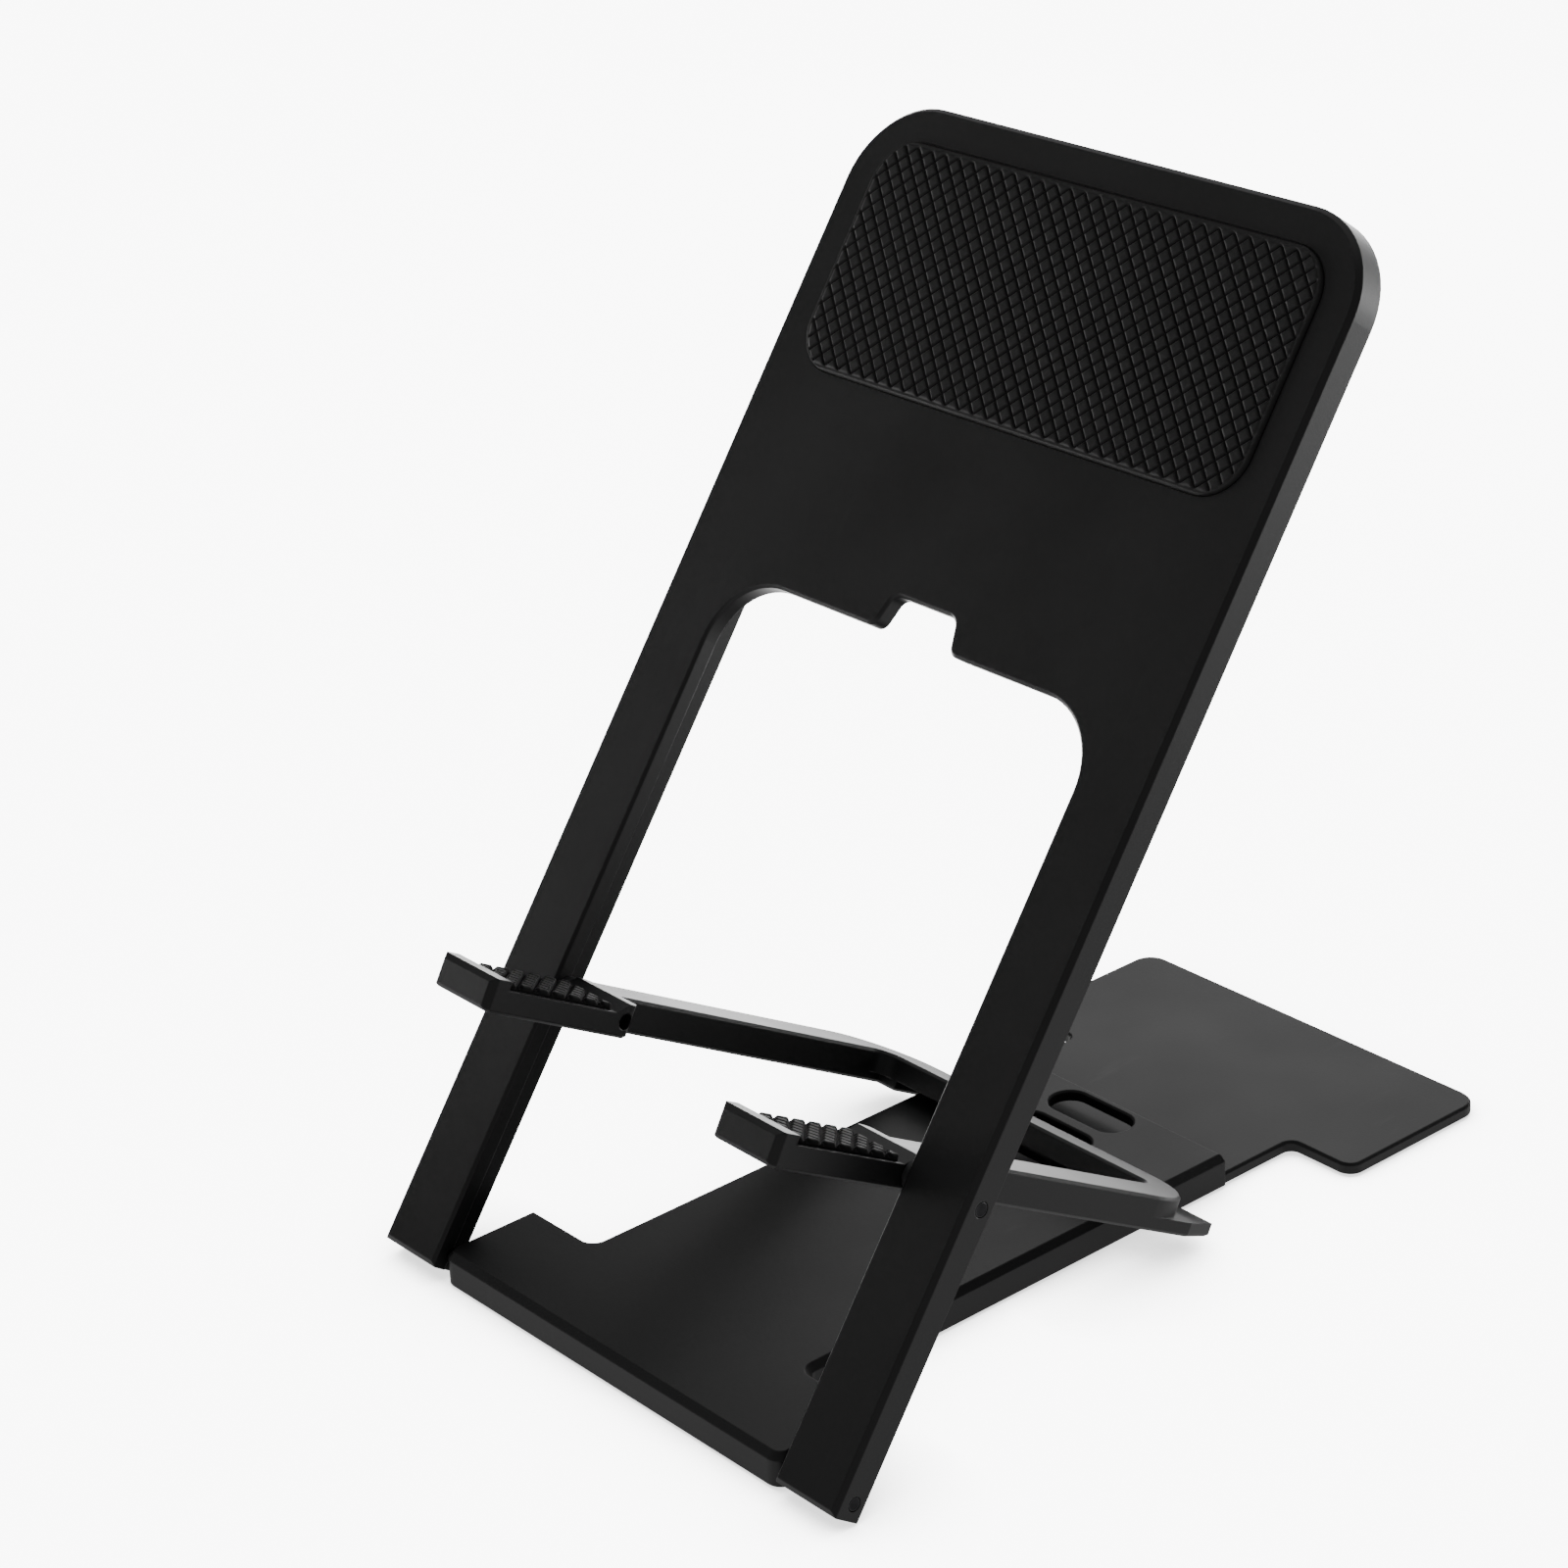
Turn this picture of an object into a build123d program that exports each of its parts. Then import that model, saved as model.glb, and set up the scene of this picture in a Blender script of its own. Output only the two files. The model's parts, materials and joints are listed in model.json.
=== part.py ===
from build123d import *
from math import cos, radians, sin
import os

os.makedirs("parts", exist_ok=True)

# A folding phone stand, in millimetres. X runs across the stand, +Y is its rear and +Z is up.
# The origin is on the desk, in the middle of the stand's footprint.
# Lengths along the base plate are measured from the heel, where the legs' back edges meet the desk,
# and lengths along the panel from its lower end. Folded flat, the two scales run side by side.
near = 0.1  # how close an edge or corner must be to the place it is looked for
overrun = 1.0  # how far a cut runs past the face it opens

# Back panel
panel_width = 70.0
panel_length = 128.0
panel_thickness = 3.8
panel_lean = 35.18  # degrees from the vertical
panel_corner_radius = 9.4
front_chamfer = 0.5
back_chamfer = 0.3
window_chamfer = 0.3
heel_radius = 0.4
window_half_width = 26.7
window_top = 76.6
window_corner_radius = 7.5
notch_mouth_half_width = 5.4
notch_top_half_width = 4.4
notch_top = 80.2
notch_radius = 1.2
recess_half_width = 27.0
recess_top = 100.3
recess_depth = 1.9
recess_corner_radius = 3.0

# Grip pad, let into the panel's front face
pad_half_width = 30.9
pad_bottom = 98.7
pad_top = 124.1
pad_corner_radius = 5.0
pad_pocket_depth = 0.6
pad_proud = 0.45
pad_gap = 0.05
tape_margin = 0.5
tape_thickness = 0.15

# Base plate
desk_gap = 0.3
base_top = 3.8
base_front = -2.0
base_wide_half_width = 26.3
base_wide_rear = 9.9
base_narrow_half_width = 16.6
base_rear = 66.9
base_front_radius = 1.7
base_corner_radius = 0.8
base_step_radius = 1.0
base_chamfer = 0.7
channel_half_width = 15.3
channel_front = 6.0
channel_roof = 2.6
slot_count = 4
slot_pitch = 6.1
slot_length = 10.8
slot_width = 4.5
slot_last = 63.75
slot_chamfer = 0.2
base_hole_start = 20.0

# Tail plate, whose tongue lies in the base plate's channel
tail_top = 1.5
tail_half_width = 24.75
tail_wide_front = 77.1
tail_rear = 97.4
tail_rear_radius = 2.5
tail_front_radius = 1.7
tail_step_radius = 1.2
neck_half_width = 16.3
neck_front = 66.95
tongue_half_width = 15.2
tongue_front = 8.0
tail_overlap = 0.5  # of the neck and the wide part of the outline
tail_chamfer = 0.25
boss_radius = 2.0
boss_half_spacing = 10.0
boss_stations = (18.0, 40.0, 60.0)

# Feet
foot_width = 7.0
foot_length = 7.0
foot_radius = 1.5
foot_pocket_depth = 0.4
base_foot_x = 20.5
base_foot_station = 4.6
tail_foot_x = 19.0
tail_foot_station = 91.0

# Hinges: the lower one joins the panel and the base plate, the upper one carries the prop
base_pin_station = 1.7
prop_pin_station = 30.8
pin_depth = 2.1  # from the panel's front face
base_pin_radius = 0.75
prop_pin_radius = 0.81
running_clearance = 0.05
base_pin_inner_end = 20.2
prop_pin_inner_end = 18.2
washer_radius = 1.6
washer_side_clearance = 0.05
pin_chamfer = 0.12

# Prop frame: l runs along the arms from the upper hinge, and h is square to them
prop_slope = 29.38  # degrees below the horizontal
prop_half_thickness = 1.8
arm_inner = 20.0
arm_outer = 25.1
arm_chamfer = 0.3
crossbar_front = 41.2
crossbar_rear = 45.5
crossbar_underside = -0.7
crossbar_outer_radius = 9.0
crossbar_inner_radius = 2.0
crossbar_gap = 0.15
bevel_length = 24.0
ear_inner = 17.4
ear_top = -0.3
ear_start = 35.0
ear_bend = 42.6
ear_tip = 47.7
ear_tip_inner = 19.3
ear_tip_outer = 23.6
tab_half_width = 3.8
tab_front = 45.2
tab_rear = 47.4
tab_top = 1.2
tab_bite = 0.2  # how far the tab reaches below the base plate's top
tab_bevel_half_width = 4.3

# Hooks, the front ends of the prop frame
hook_inner = 17.1
hook_outer = 25.8
hook_tip = -18.5
hook_root = 1.2
hook_lip_rear = -16.2
hook_lip_top = 1.7
hook_rim = 0.75
hook_rim_rear = -1.6
hook_corner_chamfer = 0.7
hook_tip_chamfer = 0.5
hook_root_radius = 1.0
seat_wall = 0.6
seat_floor = -0.35
seat_front = -16.2
seat_rear = -1.7
hook_tape_margin = 0.1
hook_pad_top = 1.6
hook_pad_radius = 0.45

# Frames of the three bodies
lean_sin = sin(radians(panel_lean))
lean_cos = cos(radians(panel_lean))
slope_sin = sin(radians(prop_slope))
slope_cos = cos(radians(prop_slope))
panel_front_reach = panel_thickness * lean_cos - front_chamfer * lean_sin
heel_y = -(tail_rear - panel_front_reach) / 2
base_plan = Plane((0, heel_y, 0))
panel_back = Plane((0, heel_y, 0), x_dir=(1, 0, 0), z_dir=(0, -lean_cos, lean_sin))
panel_front = panel_back.offset(panel_thickness)
pin_height = panel_thickness - pin_depth
base_pin_centre = panel_back.from_local_coords((0, base_pin_station, pin_height))
prop_pin_centre = panel_back.from_local_coords((0, prop_pin_station, pin_height))
prop_plan = Plane(prop_pin_centre, x_dir=(1, 0, 0), z_dir=(0, slope_sin, slope_cos))
prop_side = Plane(prop_pin_centre, x_dir=(0, slope_cos, -slope_sin), z_dir=(1, 0, 0))
base_pin_side = Plane(base_pin_centre, x_dir=(0, 1, 0), z_dir=(1, 0, 0))
slot_stations = [slot_last - slot_pitch * i for i in range(slot_count)]
hook_middle = (hook_inner + hook_outer) / 2
seat_width = hook_outer - hook_inner - 2 * seat_wall
sides = {"left": -1, "right": 1}


# ---- Back panel ----
with BuildPart() as back_panel:
    with BuildSketch(panel_back) as outline:
        with Locations((0, panel_length / 2)):
            Rectangle(panel_width, panel_length)
        fillet(outline.vertices().group_by(Axis.Y)[-1], panel_corner_radius)
    extrude(amount=panel_thickness)
    face_axis = Axis(panel_back.origin, panel_back.z_dir)
    chamfer(back_panel.faces().sort_by(face_axis)[-1].edges(), front_chamfer)
    back_edges = back_panel.faces().sort_by(face_axis)[0].edges().sort_by(Axis.Z)
    chamfer(back_edges[1:], back_chamfer)

    # The window between the legs, open at the bottom, with a notch in its top edge
    with BuildSketch(panel_back) as window:
        with Locations((0, (window_top - overrun) / 2)):
            Rectangle(2 * window_half_width, window_top + overrun)
        fillet(window.vertices().group_by(Axis.Y)[-1], window_corner_radius)
        with BuildLine():
            Polyline(
                (-notch_mouth_half_width, window_top - overrun),
                (-notch_mouth_half_width, window_top),
                (-notch_top_half_width, notch_top),
                (notch_top_half_width, notch_top),
                (notch_mouth_half_width, window_top),
                (notch_mouth_half_width, window_top - overrun),
                close=True,
            )
        make_face()
        notch_corners = window.vertices().filter_by_position(Axis.Y, window_top - near, notch_top + near)
        notch_reach = notch_mouth_half_width + near
        fillet(notch_corners.filter_by_position(Axis.X, -notch_reach, notch_reach), notch_radius)
    extrude(amount=panel_thickness, mode=Mode.SUBTRACT)
    front_face = back_panel.faces().sort_by(face_axis)[-1]
    window_reach = window_half_width + near
    window_edges = front_face.edges().filter_by_position(Axis.X, -window_reach, window_reach)
    chamfer(window_edges.sort_by(Axis.Z)[:-1], window_chamfer)

    # The recess behind the window takes the tail plate when the stand is folded
    with BuildSketch(panel_back) as recess:
        with Locations((0, (recess_top - overrun) / 2)):
            Rectangle(2 * recess_half_width, recess_top + overrun)
        fillet(recess.vertices().group_by(Axis.Y)[-1], recess_corner_radius)
    extrude(amount=recess_depth, mode=Mode.SUBTRACT)

    with BuildSketch(panel_front):
        with Locations((0, (pad_bottom + pad_top) / 2)):
            RectangleRounded(2 * pad_half_width, pad_top - pad_bottom, pad_corner_radius)
    extrude(amount=-pad_pocket_depth, mode=Mode.SUBTRACT)

    with BuildSketch(base_pin_side):
        Circle(base_pin_radius)
    extrude(amount=panel_width / 2, both=True, mode=Mode.SUBTRACT)
    with BuildSketch(prop_side):
        Circle(prop_pin_radius)
    extrude(amount=panel_width / 2, both=True, mode=Mode.SUBTRACT)

    fillet(back_panel.edges().filter_by(Axis.X).group_by(Axis.Z)[0], heel_radius)
back_panel.part.label = "back_panel"
export_step(back_panel.part, "parts/back_panel.step")


# ---- Grip pad and its tape ----
with BuildPart() as grip_pad_tape:
    with BuildSketch(panel_front.offset(-pad_pocket_depth)):
        with Locations((0, (pad_bottom + pad_top) / 2)):
            tape_width = 2 * (pad_half_width - tape_margin)
            tape_height = pad_top - pad_bottom - 2 * tape_margin
            RectangleRounded(tape_width, tape_height, pad_corner_radius - tape_margin)
    extrude(amount=tape_thickness)
grip_pad_tape.part.label = "grip_pad_tape"
export_step(grip_pad_tape.part, "parts/grip_pad_tape.step")

with BuildPart() as grip_pad:
    with BuildSketch(panel_front.offset(tape_thickness - pad_pocket_depth)):
        with Locations((0, (pad_bottom + pad_top) / 2)):
            pad_width = 2 * (pad_half_width - pad_gap)
            RectangleRounded(pad_width, pad_top - pad_bottom - 2 * pad_gap, pad_corner_radius)
    extrude(amount=pad_pocket_depth - tape_thickness + pad_proud)
grip_pad.part.label = "grip_pad"
export_step(grip_pad.part, "parts/grip_pad.step")


# ---- Base plate ----
with BuildPart() as base_plate:
    with BuildSketch(base_plan.offset(desk_gap)) as plan:
        with Locations((0, (base_front + base_wide_rear) / 2)):
            Rectangle(2 * base_wide_half_width, base_wide_rear - base_front)
        fillet(plan.vertices().group_by(Axis.Y)[0], base_front_radius)
        fillet(plan.vertices().group_by(Axis.Y)[-1], base_corner_radius)
        with Locations((0, base_rear / 2)):
            Rectangle(2 * base_narrow_half_width, base_rear)
        step = plan.vertices().filter_by_position(Axis.Y, base_wide_rear - near, base_wide_rear + near)
        step_reach = base_narrow_half_width + near
        fillet(step.filter_by_position(Axis.X, -step_reach, step_reach), base_step_radius)
    extrude(amount=base_top - desk_gap)
    top_edges = base_plate.faces().sort_by(Axis.Z)[-1].edges().sort_by(Axis.Y)
    chamfer(top_edges[:-1], base_chamfer)
    rear_edge = base_plate.faces().sort_by(Axis.Z)[-1].edges().sort_by(Axis.Y)[-1]
    chamfer(rear_edge, slot_chamfer)

    with BuildSketch(base_plan.offset(desk_gap)):
        with Locations((0, (channel_front + base_rear + overrun) / 2)):
            Rectangle(2 * channel_half_width, base_rear + overrun - channel_front)
    extrude(amount=channel_roof - desk_gap, mode=Mode.SUBTRACT)

    with BuildSketch(base_plan.offset(channel_roof)):
        with Locations(*[(0, station) for station in slot_stations]):
            SlotOverall(slot_length, slot_width)
    extrude(amount=base_top - channel_roof, mode=Mode.SUBTRACT)
    top_face = base_plate.faces().sort_by(Axis.Z)[-1]
    chamfer(top_face.inner_wires().edges(), slot_chamfer)

    with BuildSketch(*[base_pin_side.offset(x) for x in (-base_wide_half_width, base_hole_start)]):
        Circle(base_pin_radius + running_clearance)
    extrude(amount=base_wide_half_width - base_hole_start, mode=Mode.SUBTRACT)

    with BuildSketch(base_plan.offset(desk_gap)):
        with Locations(*[(side * base_foot_x, base_foot_station) for side in sides.values()]):
            RectangleRounded(foot_width, foot_length, foot_radius)
    extrude(amount=foot_pocket_depth, mode=Mode.SUBTRACT)
base_plate.part.label = "base_plate"
export_step(base_plate.part, "parts/base_plate.step")


# ---- Tail plate ----
with BuildPart() as tail_plate:
    with BuildSketch(base_plan.offset(desk_gap)) as plan:
        with Locations((0, (tail_wide_front + tail_rear) / 2)):
            Rectangle(2 * tail_half_width, tail_rear - tail_wide_front)
        fillet(plan.vertices().group_by(Axis.Y)[-1], tail_rear_radius)
        fillet(plan.vertices().group_by(Axis.Y)[0], tail_front_radius)
        neck_rear = tail_wide_front + tail_overlap
        with Locations((0, (neck_front + neck_rear) / 2)):
            Rectangle(2 * neck_half_width, neck_rear - neck_front)
        step = plan.vertices().filter_by_position(Axis.Y, tail_wide_front - near, tail_wide_front + near)
        neck_reach = neck_half_width + near
        fillet(step.filter_by_position(Axis.X, -neck_reach, neck_reach), tail_step_radius)
    extrude(amount=tail_top - desk_gap)
    chamfer(tail_plate.faces().sort_by(Axis.Z)[-1].edges(), tail_chamfer)
    with BuildSketch(base_plan.offset(desk_gap)):
        with Locations((0, (tongue_front + tail_wide_front) / 2)):
            Rectangle(2 * tongue_half_width, tail_wide_front - tongue_front)
    extrude(amount=tail_top - desk_gap)

    # Bosses that hold the tongue against the channel's roof
    with BuildSketch(base_plan.offset(tail_top)):
        for station in boss_stations:
            with Locations((-boss_half_spacing, station), (boss_half_spacing, station)):
                Circle(boss_radius)
    extrude(amount=channel_roof - tail_top)

    with BuildSketch(base_plan.offset(desk_gap)):
        with Locations(*[(side * tail_foot_x, tail_foot_station) for side in sides.values()]):
            RectangleRounded(foot_width, foot_length, foot_radius)
    extrude(amount=foot_pocket_depth, mode=Mode.SUBTRACT)
tail_plate.part.label = "tail_plate"
export_step(tail_plate.part, "parts/tail_plate.step")


# ---- Feet ----
foot_places = {"base_foot": (base_foot_x, base_foot_station), "tail_foot": (tail_foot_x, tail_foot_station)}
for foot_name, (foot_x, station) in foot_places.items():
    for side_name, side in sides.items():
        with BuildPart() as foot:
            with BuildSketch(base_plan):
                with Locations((side * foot_x, station)):
                    RectangleRounded(foot_width, foot_length, foot_radius)
            extrude(amount=desk_gap + foot_pocket_depth)
        foot.part.label = f"{foot_name}_{side_name}"
        export_step(foot.part, f"parts/{foot_name}_{side_name}.step")


# ---- Prop frame ----
with BuildPart() as prop_frame:
    # The upper layer: two arms and the crossbar that joins them
    with BuildSketch(prop_plan.offset(crossbar_underside)) as upper:
        with Locations((0, crossbar_rear / 2)):
            Rectangle(2 * arm_outer, crossbar_rear)
        fillet(upper.vertices().group_by(Axis.Y)[-1], crossbar_outer_radius)
        with Locations((0, crossbar_front / 2)):
            Rectangle(2 * arm_inner, crossbar_front, mode=Mode.SUBTRACT)
        inner = upper.vertices().filter_by_position(Axis.Y, crossbar_front - near, crossbar_front + near)
        fillet(inner, crossbar_inner_radius)
    extrude(amount=prop_half_thickness - crossbar_underside)
    prop_axis = Axis(prop_plan.origin, prop_plan.z_dir)
    chamfer(prop_frame.faces().sort_by(prop_axis)[-1].edges(), arm_chamfer)

    # The lower layer: the arms again, and an ear beyond each corner of the crossbar
    with BuildSketch(prop_plan.offset(-prop_half_thickness)):
        for side in sides.values():
            with Locations((side * (arm_inner + arm_outer) / 2, ear_start / 2)):
                Rectangle(arm_outer - arm_inner, ear_start)
    extrude(amount=prop_half_thickness + crossbar_underside)
    with BuildSketch(prop_plan.offset(-prop_half_thickness)):
        for side in sides.values():
            with BuildLine():
                Polyline(
                    (side * arm_outer, ear_start),
                    (side * arm_outer, ear_bend),
                    (side * ear_tip_outer, ear_tip),
                    (side * ear_tip_inner, ear_tip),
                    (side * ear_inner, crossbar_rear),
                    (side * ear_inner, crossbar_front),
                    (side * arm_inner, crossbar_front),
                    (side * arm_inner, ear_start),
                    close=True,
                )
            make_face()
    extrude(amount=prop_half_thickness + ear_top)

    # The crossbar's underside is bevelled parallel to the base plate, just clear of it
    with BuildSketch(base_plan):
        with Locations((0, base_rear - slot_pitch)):
            Rectangle(2 * ear_inner, bevel_length)
    extrude(amount=base_top + crossbar_gap, mode=Mode.SUBTRACT)

    # The tab that stands in a slot
    with BuildSketch(prop_side):
        with Locations(((tab_front + tab_rear) / 2, (tab_top + crossbar_underside) / 2)):
            Rectangle(tab_rear - tab_front, tab_top - crossbar_underside)
    extrude(amount=tab_half_width, both=True)
    with BuildSketch(base_plan):
        with Locations((0, base_rear - slot_pitch)):
            Rectangle(2 * tab_bevel_half_width, bevel_length)
    extrude(amount=base_top - tab_bite, mode=Mode.SUBTRACT)

    # The hooks: a seat for the phone's lower edge, between a lip and the hinge
    with BuildSketch(prop_plan.offset(-prop_half_thickness)) as hooks:
        for side in sides.values():
            with Locations((side * hook_middle, (hook_tip + hook_root) / 2)):
                Rectangle(hook_outer - hook_inner, hook_root - hook_tip)
        chamfer(hooks.vertices().group_by(Axis.Y)[0], hook_corner_chamfer)
        fillet(hooks.vertices().group_by(Axis.Y)[-1], hook_root_radius)
    extrude(amount=2 * prop_half_thickness)
    with BuildSketch(prop_side):
        with BuildLine():
            Polyline(
                (hook_tip - overrun, hook_lip_top),
                (hook_lip_rear, hook_lip_top),
                (hook_lip_rear, hook_rim),
                (hook_rim_rear, hook_rim),
                (0, prop_half_thickness),
                (0, prop_half_thickness + overrun),
                (hook_tip - overrun, prop_half_thickness + overrun),
                close=True,
            )
        make_face()
    extrude(amount=hook_outer, both=True, mode=Mode.SUBTRACT)
    with BuildSketch(prop_plan.offset(seat_floor)):
        for side in sides.values():
            with Locations((side * hook_middle, (seat_front + seat_rear) / 2)):
                Rectangle(seat_width, seat_rear - seat_front)
    extrude(amount=prop_half_thickness - seat_floor, mode=Mode.SUBTRACT)
    arm_axis = Axis(prop_plan.origin, prop_plan.y_dir)
    chamfer(prop_frame.edges().filter_by(Axis.X).group_by(arm_axis)[0], hook_tip_chamfer)
    chamfer(prop_frame.faces().group_by(prop_axis)[0].edges(), arm_chamfer)

    with BuildSketch(prop_side):
        Circle(prop_pin_radius + running_clearance)
    extrude(amount=hook_outer, both=True, mode=Mode.SUBTRACT)
prop_frame.part.label = "prop_frame"
export_step(prop_frame.part, "parts/prop_frame.step")


# ---- Hook pads and their tapes ----
seat_middle = (seat_front + seat_rear) / 2
seat_length = seat_rear - seat_front
pad_underside = seat_floor + tape_thickness
for side_name, side in sides.items():
    with BuildPart() as hook_pad_tape:
        with BuildSketch(prop_plan.offset(seat_floor)):
            with Locations((side * hook_middle, seat_middle)):
                Rectangle(seat_width - 2 * hook_tape_margin, seat_length - 2 * hook_tape_margin)
        extrude(amount=tape_thickness)
    hook_pad_tape.part.label = f"hook_pad_tape_{side_name}"
    export_step(hook_pad_tape.part, f"parts/hook_pad_tape_{side_name}.step")

    with BuildPart() as hook_pad:
        with BuildSketch(prop_side.offset(side * hook_middle)) as profile:
            with Locations((seat_middle, (pad_underside + hook_pad_top) / 2)):
                Rectangle(seat_length - 2 * pad_gap, hook_pad_top - pad_underside)
            fillet(profile.vertices().group_by(Axis.Y)[-1], hook_pad_radius)
        extrude(amount=seat_width / 2 - pad_gap, both=True)
    hook_pad.part.label = f"hook_pad_{side_name}"
    export_step(hook_pad.part, f"parts/hook_pad_{side_name}.step")


# ---- Pins and washers ----
pins = {
    "base_pin": (base_pin_side, base_pin_radius, base_pin_inner_end),
    "prop_pin": (prop_side, prop_pin_radius, prop_pin_inner_end),
}
for pin_name, (side_plane, pin_radius, inner_end) in pins.items():
    for side_name, side in sides.items():
        with BuildPart() as pin:
            with BuildSketch(side_plane.offset(side * inner_end)):
                Circle(pin_radius)
            extrude(amount=side * (panel_width / 2 - inner_end))
            chamfer(pin.edges(), pin_chamfer)
        pin.part.label = f"{pin_name}_{side_name}"
        export_step(pin.part, f"parts/{pin_name}_{side_name}.step")

for side_name, side in sides.items():
    with BuildPart() as washer:
        with BuildSketch(prop_side.offset(side * (hook_outer + washer_side_clearance))):
            Circle(washer_radius)
            Circle(prop_pin_radius + running_clearance, mode=Mode.SUBTRACT)
        extrude(amount=side * (window_half_width - hook_outer - 2 * washer_side_clearance))
    washer.part.label = f"prop_washer_{side_name}"
    export_step(washer.part, f"parts/prop_washer_{side_name}.step")
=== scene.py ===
import json
import math
from collections import namedtuple

import bmesh
import bpy
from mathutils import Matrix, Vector


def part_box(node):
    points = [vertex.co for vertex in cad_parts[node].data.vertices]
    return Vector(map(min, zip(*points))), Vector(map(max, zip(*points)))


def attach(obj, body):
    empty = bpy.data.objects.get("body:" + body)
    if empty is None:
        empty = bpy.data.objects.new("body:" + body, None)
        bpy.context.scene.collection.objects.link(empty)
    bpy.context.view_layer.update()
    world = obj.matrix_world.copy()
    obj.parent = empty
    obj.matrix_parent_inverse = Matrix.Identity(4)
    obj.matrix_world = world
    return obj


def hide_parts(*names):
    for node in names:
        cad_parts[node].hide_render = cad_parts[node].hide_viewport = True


# A folding phone stand in black plastic, on a white floor. Everything is in metres, in the frame of the CAD
# model: X across the stand, +Y to its rear, +Z up, with the origin on the desk.

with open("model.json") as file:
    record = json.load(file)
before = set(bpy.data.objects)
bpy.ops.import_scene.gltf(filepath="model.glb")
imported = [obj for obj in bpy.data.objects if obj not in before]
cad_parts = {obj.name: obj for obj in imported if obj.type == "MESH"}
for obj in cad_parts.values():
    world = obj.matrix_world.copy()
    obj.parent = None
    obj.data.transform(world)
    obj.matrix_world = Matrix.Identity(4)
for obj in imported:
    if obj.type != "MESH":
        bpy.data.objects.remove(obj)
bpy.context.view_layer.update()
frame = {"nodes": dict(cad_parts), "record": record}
MM = 0.001


# ---------------------------------------------------------------- camera

def make_camera():
    """A view from the front right, 23 degrees above the desk."""
    data = bpy.data.cameras.new("camera")
    data.lens = 96.46
    data.sensor_width = 36.0
    data.shift_x = -0.0177
    data.shift_y = -0.0770
    data.clip_start = 0.01
    data.clip_end = 50.0
    camera = bpy.data.objects.new("camera", data)
    camera.location = (0.2825, -0.2532, 0.2219)
    camera.rotation_euler = [math.radians(angle) for angle in (67.0, 2.65, 49.18)]
    bpy.context.scene.collection.objects.link(camera)
    bpy.context.scene.camera = camera


# ---------------------------------------------------------------- materials

PLASTIC_IOR = 1.46
SILICONE_IOR = 1.41
WHITE = (1, 1, 1, 1)


def tint(tone, red, green, blue):
    """A colour as a grey level times a factor for each channel."""
    return tone * red, tone * green, tone * blue, 1


class Shader:
    """A small helper that adds and links the nodes of one material."""

    def __init__(self, name):
        self.material = bpy.data.materials.new(name)
        self.material.use_nodes = True
        self.tree = self.material.node_tree
        self.main = self.tree.nodes["Principled BSDF"]
        self.place = self.node("ShaderNodeTexCoord").outputs["Object"]

    def node(self, kind, **settings):
        made = self.tree.nodes.new(kind)
        for key, value in settings.items():
            setattr(made, key, value)
        return made

    def feed(self, socket, value):
        """Sets a socket to a number or colour, or links it to another node's output."""
        if isinstance(value, bpy.types.NodeSocket):
            self.tree.links.new(value, socket)
        else:
            socket.default_value = value

    def surface(self, **values):
        """Feeds the Principled BSDF: base_color=... goes to its "Base Color", ior=... to its "IOR"."""
        for key, value in values.items():
            title = "IOR" if key == "ior" else key.replace("_", " ").title()
            self.feed(self.main.inputs[title], value)

    def math(self, operation, first, second):
        made = self.node("ShaderNodeMath", operation=operation)
        for socket, value in zip(made.inputs, (first, second)):
            self.feed(socket, value)
        return made.outputs[0]

    def ramp(self, value, low, high, out_low=0.0, out_high=1.0):
        """Maps low..high to out_low..out_high, and holds the ends beyond."""
        made = self.node("ShaderNodeMapRange")
        for socket, number in zip(made.inputs, (value, low, high, out_low, out_high)):
            self.feed(socket, number)
        return made.outputs[0]

    def mix(self, factor, first, second):
        made = self.node("ShaderNodeMix", data_type="RGBA")
        self.feed(made.inputs["Factor"], factor)
        self.feed(made.inputs["A"], first)
        self.feed(made.inputs["B"], second)
        return made.outputs["Result"]

    def noise(self, size, detail, roughness=0.55, stretch=(1, 1, 1)):
        """Noise with features of about that size in metres, stretched along the axes."""
        mapping = self.node("ShaderNodeMapping")
        self.feed(mapping.inputs["Scale"], stretch)
        self.feed(mapping.inputs["Vector"], self.place)
        made = self.node("ShaderNodeTexNoise")
        self.feed(made.inputs["Scale"], 1.0 / size)
        self.feed(made.inputs["Detail"], detail)
        self.feed(made.inputs["Roughness"], roughness)
        self.feed(made.inputs["Vector"], mapping.outputs[0])
        return made.outputs["Fac"]

    def edges(self, radius):
        """1 on sharp edges and 0 on flat faces, with the rounded normal beside it."""
        bevel = self.node("ShaderNodeBevel", samples=6)
        self.feed(bevel.inputs["Radius"], radius)
        geometry = self.node("ShaderNodeNewGeometry")
        agreement = self.node("ShaderNodeVectorMath", operation="DOT_PRODUCT")
        self.feed(agreement.inputs[0], bevel.outputs[0])
        self.feed(agreement.inputs[1], geometry.outputs["Normal"])
        return self.ramp(agreement.outputs["Value"], 0.999, 0.93), bevel.outputs[0]

    def bump(self, height, distance, strength, normal=None):
        made = self.node("ShaderNodeBump")
        self.feed(made.inputs["Distance"], distance)
        self.feed(made.inputs["Strength"], strength)
        self.feed(made.inputs["Height"], height)
        if normal is not None:
            self.feed(made.inputs["Normal"], normal)
        return made.outputs[0]


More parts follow.
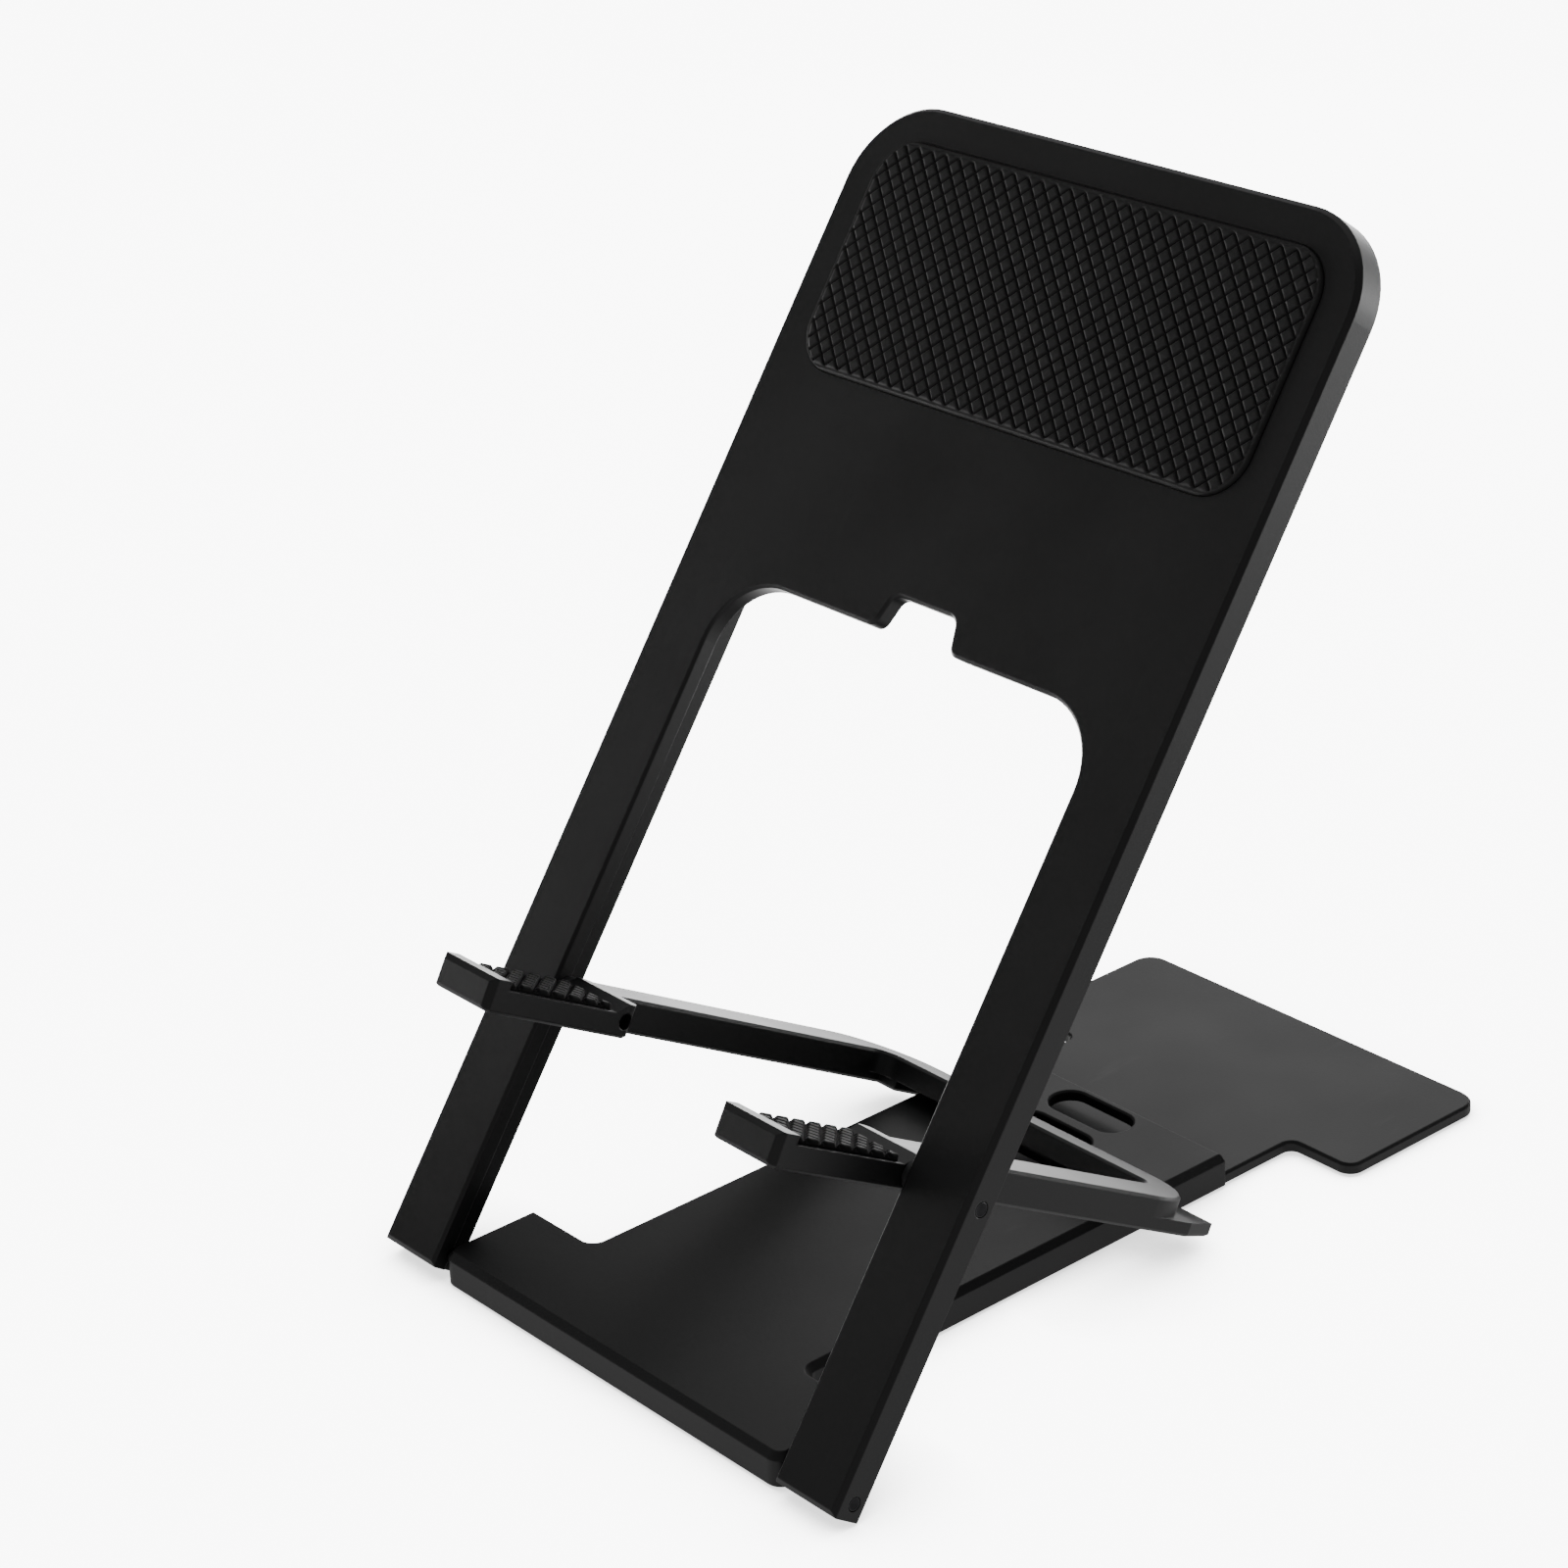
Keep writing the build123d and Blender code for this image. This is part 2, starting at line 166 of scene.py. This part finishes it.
def black_plastic(name, tone=0.009, roughness=0.42):
    """Matte moulded plastic: a spark-eroded grain, faint scuffs, and sharp edges lightened, partly as
    handling wear and partly as a painted highlight.
    """
    shader = Shader(name)
    cloud = shader.noise(18 * MM, 2.0)
    scuff = shader.noise(3.5 * MM, 4.0, 0.65, (1.0, 0.22, 0.22))
    grain = shader.noise(0.22 * MM, 2.0, 0.6)
    worn_and_highlit_edges, rounded = shader.edges(0.18 * MM)
    rub = shader.ramp(scuff, 0.62, 0.78)
    # a lighter tint, used for the scuffs (wear) and for the painted edge highlight
    scuff_and_highlight_tint = tint(tone, 2.6, 2.6, 2.65)
    base = shader.mix(shader.ramp(cloud, 0.3, 0.7), tint(tone, 1, 1, 1.03), tint(tone, 1.45, 1.45, 1.5))
    base = shader.mix(shader.math("MULTIPLY", rub, 0.25), base, scuff_and_highlight_tint)
    # painted highlight and wear: sharp edges are lightened towards the lighter tint, as thin bright edge
    # lines
    base = shader.mix(shader.math("MULTIPLY", worn_and_highlit_edges, 0.5), base, scuff_and_highlight_tint)
    rough = shader.ramp(cloud, 0.3, 0.7, roughness - 0.03, roughness + 0.04)
    rough = shader.math("SUBTRACT", rough, shader.math("MULTIPLY", rub, 0.05))
    rough = shader.math("SUBTRACT", rough, shader.math("MULTIPLY", worn_and_highlit_edges, 0.08))
    skin = shader.bump(grain, 0.02 * MM, 0.35, rounded)
    shader.surface(base_color=base, roughness=rough, normal=skin, ior=PLASTIC_IOR)
    return shader.material


def silicone(name, tone, roughness, grooved=False):
    """Soft black rubber: dust-dulled faces, a fine skin, edges lightened partly as wear and partly as a
    painted highlight, and grooves darkened as painted shade where it has a pattern.
    """
    shader = Shader(name)
    cloud = shader.noise(9 * MM, 3.0)
    dust = shader.noise(1.1 * MM, 4.0, 0.7)
    grain = shader.noise(0.3 * MM, 3.0, 0.6)
    worn_and_highlit_edges, rounded = shader.edges(0.12 * MM)
    dust_and_highlight_tint = tint(tone, 2.1, 2.05, 2.0)
    base = shader.mix(shader.ramp(dust, 0.5, 0.75, 0.0, 0.6), tint(tone, 1, 1, 1), dust_and_highlight_tint)
    # painted highlight and wear: sharp edges are lightened towards the dust tint
    base = shader.mix(shader.math("MULTIPLY", worn_and_highlit_edges, 0.4), base, dust_and_highlight_tint)
    rough = shader.ramp(cloud, 0.3, 0.7, roughness - 0.05, roughness + 0.07)
    if grooved:
        tops = shader.node("ShaderNodeVertexColor", layer_name=GROOVE_LAYER).outputs["Color"]
        # painted shade: the grooves' bottoms are darkened to a quarter of the tone
        base = shader.mix(tops, tint(tone, 0.25, 0.25, 0.25), base)
        rough = shader.math("ADD", rough, shader.ramp(tops, 0.2, 0.9, 0.3, 0.0))
    skin = shader.bump(grain, 0.03 * MM, 0.4, rounded)
    shader.surface(base_color=base, roughness=rough, normal=skin, ior=SILICONE_IOR)
    return shader.material


def blackened_steel(name):
    """Pin ends: turned steel, blackened, with rings from the tool and a paler rim, partly wear and partly a
    painted highlight.
    """
    shader = Shader(name)
    rings = shader.noise(0.2 * MM, 2.0, 0.5, (0.2, 1, 1))
    stain = shader.noise(1.2 * MM, 3.0)
    worn_and_highlit_edges, rounded = shader.edges(0.12 * MM)
    base = shader.mix(shader.ramp(stain, 0.3, 0.7), (0.012, 0.012, 0.013, 1), (0.03, 0.03, 0.032, 1))
    # painted highlight and wear: the sharp rim is lightened to a pale grey
    base = shader.mix(worn_and_highlit_edges, base, (0.1, 0.1, 0.104, 1))
    rough = shader.ramp(rings, 0.3, 0.7, 0.28, 0.42)
    skin = shader.bump(rings, 0.01 * MM, 0.3, rounded)
    shader.surface(base_color=base, metallic=0.9, roughness=rough, normal=skin)
    return shader.material


def tape_film(name):
    """Double-sided tape: a dull grey foam film."""
    shader = Shader(name)
    foam = shader.noise(0.4 * MM, 3.0, 0.7)
    base = shader.mix(shader.ramp(foam, 0.35, 0.65), (0.22, 0.22, 0.22, 1), (0.34, 0.34, 0.33, 1))
    rough = shader.ramp(foam, 0.3, 0.7, 0.6, 0.75)
    shader.surface(base_color=base, roughness=rough, normal=shader.bump(foam, 0.02 * MM, 0.4))
    return shader.material


def dress_cad(materials):
    """Gives every carried-over CAD node the material of its slot in the record."""
    slots = {part["node"]: part["material_slot"] for part in frame["record"]["subparts"]}
    for name, piece in frame["nodes"].items():
        piece.data.materials.clear()
        piece.data.materials.append(materials[slots[name]])


# ---------------------------------------------------------------- rubber pads

GROOVE_LAYER = "groove"     # vertex colours: white on the pattern's tops, black in its grooves
STEPS_PER_PITCH = 16        # grid steps from one groove to the next, across the pad
FLANK = 2.1                 # slope of the grooves' sides; above 1 the diamonds have flat tops
BORDER_TOP = 0.75           # height of the plain border, as a share of the diamonds'
BLEND = 0.2 * MM            # width of the border's rounded edge, and of its step to the diamonds
WELD = 1e-7                 # points nearer than this become one
PROP_SLOPE = math.radians(29.38)    # how steeply the prop's arms go down towards the rear

# A leaning slab, with x across it: its middle, the way along it, the way its face looks, and its half sizes.
Slab = namedtuple("Slab", "centre along front half_width half_length half_thickness")


def direction(start, end):
    """The way from one CAD node's middle to another's, seen from the side."""
    along = (sum(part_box(end), Vector()) - sum(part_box(start), Vector())) / 2
    along.x = 0
    return along.normalized()


def slab_of(node, along):
    """The slab that a leaning CAD node fills, from the node's upright box and the way it lies along."""
    low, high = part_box(node)
    front = Vector((0, -along.z, along.y))
    if front.z < 0:
        front = -front
    rise, run = high.z - low.z, high.y - low.y
    across, down = abs(along.z), abs(along.y)
    thickness = (rise * down - run * across) / (down ** 2 - across ** 2)
    length = (rise - thickness * down) / across
    return Slab((low + high) / 2, along, front, (high.x - low.x) / 2, length / 2, thickness / 2)


def clamp(value):
    return min(1.0, max(0.0, value))


def diamonds(x, s, pitch):
    """1 on the diamonds' flat tops, and 0 at the bottom of two families of diagonal grooves."""
    turn = math.pi / (pitch * math.sqrt(2))
    return min(1.0, FLANK * min(abs(math.sin((x + s) * turn)), abs(math.sin((x - s) * turn))))


def relief(x, s, inside, rim, pitch):
    """Height from 0 to 1 at a point that is inside the outline by that much: a border, then diamonds."""
    blend = clamp((inside - rim) / BLEND)
    border = clamp(inside / BLEND) * BORDER_TOP
    return (1 - blend) * border + blend * diamonds(x, s, pitch)


def add_face(mesh, slab, corner, rim, height, pitch):
    """The patterned face: a grid of vertices in rows from end to end, narrower at its round corners."""
    groove = mesh.verts.layers.float_color.new(GROOVE_LAYER)
    step = pitch * math.sqrt(2) / STEPS_PER_PITCH
    columns = 2 * round(slab.half_width / step)
    rows = 2 * round(slab.half_length / step)
    grid = []
    for row in range(rows + 1):
        s = (row / rows * 2 - 1) * slab.half_length
        past = max(0.0, abs(s) - (slab.half_length - corner))
        width = slab.half_width - corner + math.sqrt(max(0.0, corner ** 2 - past ** 2))
        line = []
        for column in range(columns + 1):
            x = (column / columns * 2 - 1) * width
            top = relief(x, s, min(width - abs(x), slab.half_length - abs(s)), rim, pitch)
            depth = slab.half_thickness - height * (1 - top)
            vert = mesh.verts.new(slab.centre + Vector((x, 0, 0)) + slab.along * s + slab.front * depth)
            vert[groove] = (top, top, top, 1)
            line.append(vert)
        grid.append(line)
    for line, following in zip(grid, grid[1:]):
        for i in range(columns):
            mesh.faces.new((line[i], line[i + 1], following[i + 1], following[i]))
    return grid


def add_underside(mesh, slab, grid):
    """Walls from the face's outline down to the slab's flat underside, and the underside."""
    groove = mesh.verts.layers.float_color[GROOVE_LAYER]
    right = [line[-1] for line in grid[1:]]
    left = [line[0] for line in grid[-2:0:-1]]
    outline = grid[0] + right + grid[-1][-2::-1] + left
    under = []
    for vert in outline:
        drop = (vert.co - slab.centre).dot(slab.front) + slab.half_thickness
        foot = mesh.verts.new(vert.co - slab.front * drop)
        foot[groove] = WHITE
        under.append(foot)
    for i, vert in enumerate(outline):
        j = (i + 1) % len(outline)
        mesh.faces.new((outline[j], vert, under[i], under[j]))
    mesh.faces.new(under)


def make_pad(node, along, body, corner, rim, height, pitch, material):
    """A moulded rubber pad in the place of the plain CAD slab: a border with diamonds inside it.

    corner is the outline's corner radius, rim the border's width, height the grooves' depth and pitch the
    distance between grooves.
    """
    slab = slab_of(node, along)
    mesh = bmesh.new()
    grid = add_face(mesh, slab, corner, rim, height, pitch)
    add_underside(mesh, slab, grid)
    bmesh.ops.remove_doubles(mesh, verts=mesh.verts, dist=WELD)
    bmesh.ops.recalc_face_normals(mesh, faces=mesh.faces)
    data = bpy.data.meshes.new(f"{node}_relief")
    mesh.to_mesh(data)
    mesh.free()
    pad = bpy.data.objects.new(f"{node}_relief", data)
    bpy.context.scene.collection.objects.link(pad)
    data.materials.append(material)
    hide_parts(node)
    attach(pad, body)


# ---------------------------------------------------------------- stage

FLOOR_SIZE = 12.0
FLOOR_DROP = 0.1 * MM       # the floor lies this much below the feet
CONTACT_REACH = 12 * MM     # how far from the stand its contact shade reaches
WORLD_STRENGTH = 0.17


def floor_paint():
    """White paint that glows.

    To the camera it is evenly white, with a painted contact shadow where the stand stands close to it. To
    all other rays it glows little at the front right and more and more towards the rear left, like a
    backdrop lit from behind.
    """
    shader = Shader("floor_paint")
    place = shader.node("ShaderNodeSeparateXYZ")
    shader.feed(place.inputs[0], shader.place)
    rearward = shader.math("SUBTRACT", place.outputs["Y"], place.outputs["X"])
    glow = shader.ramp(rearward, 0.04, 0.18, 0.42, 8.0)
    # painted contact shadow: camera rays see the floor dimmer where ambient occlusion finds the stand near
    contact = shader.node("ShaderNodeAmbientOcclusion", samples=8)
    shader.feed(contact.inputs["Distance"], CONTACT_REACH)
    seen_white = shader.ramp(contact.outputs["AO"], 0.35, 0.95, 1.6, 9.0)
    camera_ray = shader.node("ShaderNodeLightPath").outputs["Is Camera Ray"]
    strength = shader.ramp(camera_ray, 0.0, 1.0, glow, seen_white)
    shader.surface(base_color=(0.8, 0.8, 0.8, 1), roughness=0.9, emission_color=WHITE,
                   emission_strength=strength)
    return shader.material


def make_floor():
    bpy.ops.mesh.primitive_plane_add(size=FLOOR_SIZE, location=(0, 0, -FLOOR_DROP))
    floor = bpy.context.object
    floor.name = "floor"
    floor.data.materials.append(floor_paint())


def make_world():
    world = bpy.data.worlds.new("studio")
    bpy.context.scene.world = world
    world.use_nodes = True
    background = world.node_tree.nodes["Background"]
    background.inputs["Color"].default_value = WHITE
    background.inputs["Strength"].default_value = WORLD_STRENGTH


def aim(light, way):
    """Turns a light so that it shines that way, and adds it to the scene."""
    light.rotation_euler = Vector(way).to_track_quat("-Z", "Y").to_euler()
    bpy.context.scene.collection.objects.link(light)


def overhead_light(way, strength, spread):
    sun = bpy.data.lights.new("overhead_light", "SUN")
    sun.energy = strength
    sun.angle = spread
    aim(bpy.data.objects.new("overhead_light", sun), way)


def softbox(name, place, target, width, height, power):
    data = bpy.data.lights.new(name, "AREA")
    data.shape = "RECTANGLE"
    data.size = width
    data.size_y = height
    data.energy = power
    light = bpy.data.objects.new(name, data)
    light.location = place
    aim(light, Vector(target) - Vector(place))


def make_stage():
    """A white floor, a dim even world, and three soft lights: overhead, behind at the left, and in front."""
    make_floor()
    make_world()
    overhead_light(way=(0.25, -0.35, -1.0), strength=0.3, spread=math.radians(60))
    softbox("rear_softbox", place=(-0.22, 0.33, 0.145), target=(0, 0.02, 0.01),
            width=0.3, height=0.24, power=0.27)
    softbox("front_softbox", place=(-0.77, -0.68, 0.57), target=(0, 0, 0.06),
            width=1.2, height=1.2, power=0.25)


# ---------------------------------------------------------------- the scene

make_camera()
moulded = ("panel_plastic", "base_plastic", "tail_plastic", "prop_plastic")
materials = {name: black_plastic(name) for name in moulded}
materials.update(
    pad_rubber=silicone("pad_rubber", tone=0.020, roughness=0.46, grooved=True),
    foot_rubber=silicone("foot_rubber", tone=0.014, roughness=0.6),
    pin_steel=blackened_steel("pin_steel"),
    washer_plastic=black_plastic("washer_plastic", tone=0.03, roughness=0.35),
    tape=tape_film("tape"),
)
dress_cad(materials)
dull_rubber = silicone("dull_rubber", tone=0.009, roughness=0.8, grooved=True)

up_panel = direction("base_pin_right", "prop_pin_right")
down_prop = Vector((0, math.cos(PROP_SLOPE), -math.sin(PROP_SLOPE)))
make_pad("grip_pad", up_panel, "panel", corner=5.0 * MM, rim=0.5 * MM, height=0.32 * MM, pitch=1.42 * MM,
         material=materials["pad_rubber"])
for side in ("left", "right"):
    make_pad(f"hook_pad_{side}", down_prop, "prop", corner=0.3 * MM, rim=0.0, height=0.5 * MM,
             pitch=1.55 * MM, material=dull_rubber)
make_stage()
